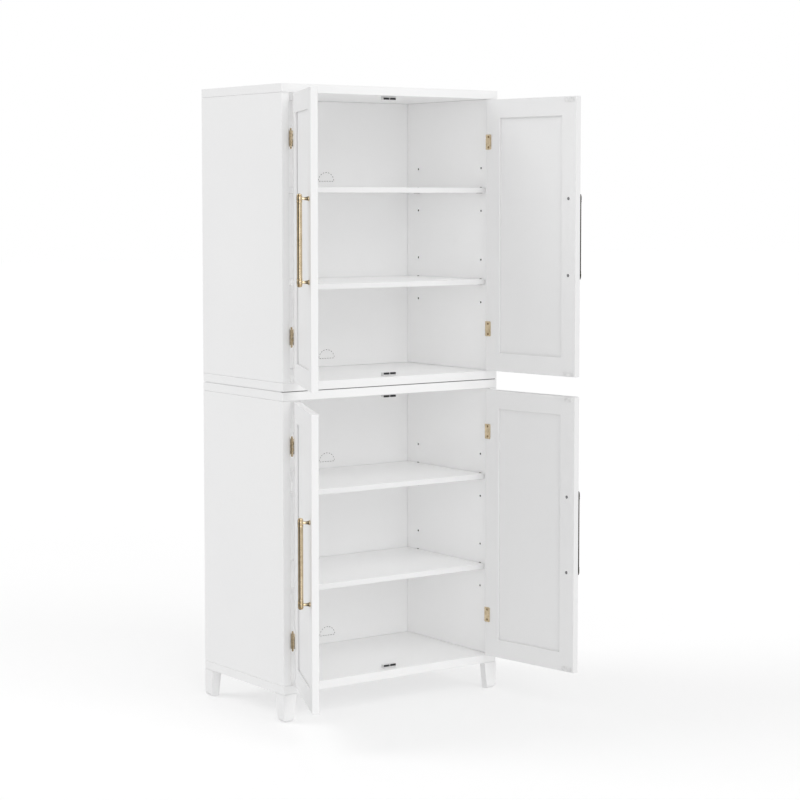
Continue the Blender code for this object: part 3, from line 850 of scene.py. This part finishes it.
def soft_sun(name, level, azimuth, elevation, spread):
    """A broad even light; azimuth runs from the cabinet's front towards its left, in degrees."""
    light = bpy.data.lights.new(name, "SUN")
    light.energy = level * math.pi
    light.angle = math.radians(spread)
    turn, lift = math.radians(azimuth), math.radians(elevation)
    source = Vector((-math.sin(turn) * math.cos(lift), -math.cos(turn) * math.cos(lift), math.sin(lift)))
    lamp = bpy.data.objects.new(name, light)
    lamp.location = source * 6
    lamp.rotation_euler = source.to_track_quat("Z", "Y").to_euler()
    bpy.context.scene.collection.objects.link(lamp)


def make_camera():
    low, high = corners("lower_bottom_panel")
    data = bpy.data.cameras.new("camera")
    data.lens = CAMERA_LENS
    data.sensor_width = 36.0
    data.shift_y = CAMERA_SHIFT
    data.clip_end = 200.0
    camera = bpy.data.objects.new("camera", data)
    bpy.context.scene.collection.objects.link(camera)
    x, y, z = CAMERA_FROM_FRONT
    camera.location = ((low.x + high.x) / 2 + x, low.y + y, z)
    camera.rotation_euler = (math.pi / 2 - CAMERA_PITCH, 0, -CAMERA_YAW)
    bpy.context.scene.camera = camera


def main():
    scene = bpy.context.scene
    scene.view_settings.view_transform = "Standard"
    scene.cycles.max_bounces = 16
    scene.cycles.diffuse_bounces = 14
    make_camera()
    materials = {
        # The faces entries paint the boards' front edges and their sides inside the cupboards whiter, as
        # painted light.
        "case": lacquer("white_case", 0.82, faces=[(0.88, "Y", -1)]),
        "left_side": lacquer("white_left_side", 0.82, faces=[(0.95, "X", 1), (0.89, "Y", -1)]),
        "right_side": lacquer("white_right_side", 0.82, faces=[(0.95, "X", -1), (0.89, "Y", -1)]),
        "top": lacquer("white_top", 0.82, faces=[(0.95, "Z", -1), (0.90, "Y", -1)]),
        "bottom": lacquer("white_bottom", 0.82, faces=[(0.96, "Z", 1), (0.88, "Y", -1)]),
        "door": lacquer("white_door", 0.82, roughness=0.36),
        "shelf": lacquer("white_shelf", 0.84, roughness=0.44, peel=0.03, faces=[(0.96, "Z", 0)]),
        "back": lacquer("white_back", 0.78, roughness=0.50, peel=0.03, faces=[(0.95, "Y", -1)]),
        "brass_turned": aged_brass("brass_turned", (1, 1, 0.04)),
        "brass_plate": aged_brass("brass_plate", (1, 1, 12)),
        "brass_dark": steel("brass_dark", (0.30, 0.20, 0.09), 0.42),
        "zinc": steel("zinc_screw", (0.32, 0.32, 0.33), 0.35),
        "strike": steel("strike_steel", (0.90, 0.90, 0.90), 0.45, (1, 1, 10), 0.3),
        "nickel": steel("nickel_support", (0.40, 0.39, 0.37), 0.30),
        "magnet": steel("magnet_steel", (0.16, 0.16, 0.17), 0.38),
        "plastic": moulded_plastic("black_plastic", (0.016, 0.016, 0.018)),
        # Near-black board colours: painted shade inside the support holes and the knock-out slots.
        "board": fibreboard("hole_shade_fibreboard", (0.022, 0.017, 0.012)),
        "shadow": fibreboard("painted_slot_shade", (0.05, 0.04, 0.03)),
        "catch_white": moulded_plastic("white_plastic", (0.72, 0.72, 0.72)),
        "pad": moulded_plastic("pale_rubber", (0.74, 0.74, 0.74)),
        # Near-black strip colour: painted shade in the gap between the cupboards.
        "gap_shade": moulded_plastic("painted_gap_shade", (0.015, 0.015, 0.015)),
    }
    dress_case(materials)
    make_gap_shade_strip(materials["gap_shade"])
    small_screw = screw_head("small_screw", HINGE_SCREW_RADIUS, 0.0005, 0.0006)
    pull_screw = screw_head("pull_screw", 0.0046, 0.0017, 0.0005)
    for cupboard in CUPBOARDS:
        make_knockout_slots(cupboard, materials["shadow"])
        for end in ENDS:
            make_catch(cupboard, end, materials)
        for side in SIDES:
            door = f"{cupboard}_{side}"
            make_hole_liners(cupboard, side, materials["board"])
            for level in SHELVES:
                make_shelf_supports(cupboard, side, level, materials["nickel"])
            place, low, high = door_place(door)
            for end in ENDS:
                make_hinge(door, end, place, (low, high), materials, small_screw)
            make_pull(door, place, (low, high), materials, pull_screw)
            make_strikes(door, place, (low, high), materials, small_screw)
    make_floor()
    make_world()
    for name, (level, azimuth, elevation, spread) in LIGHTS.items():
        soft_sun(name, level, azimuth, elevation, spread)


main()
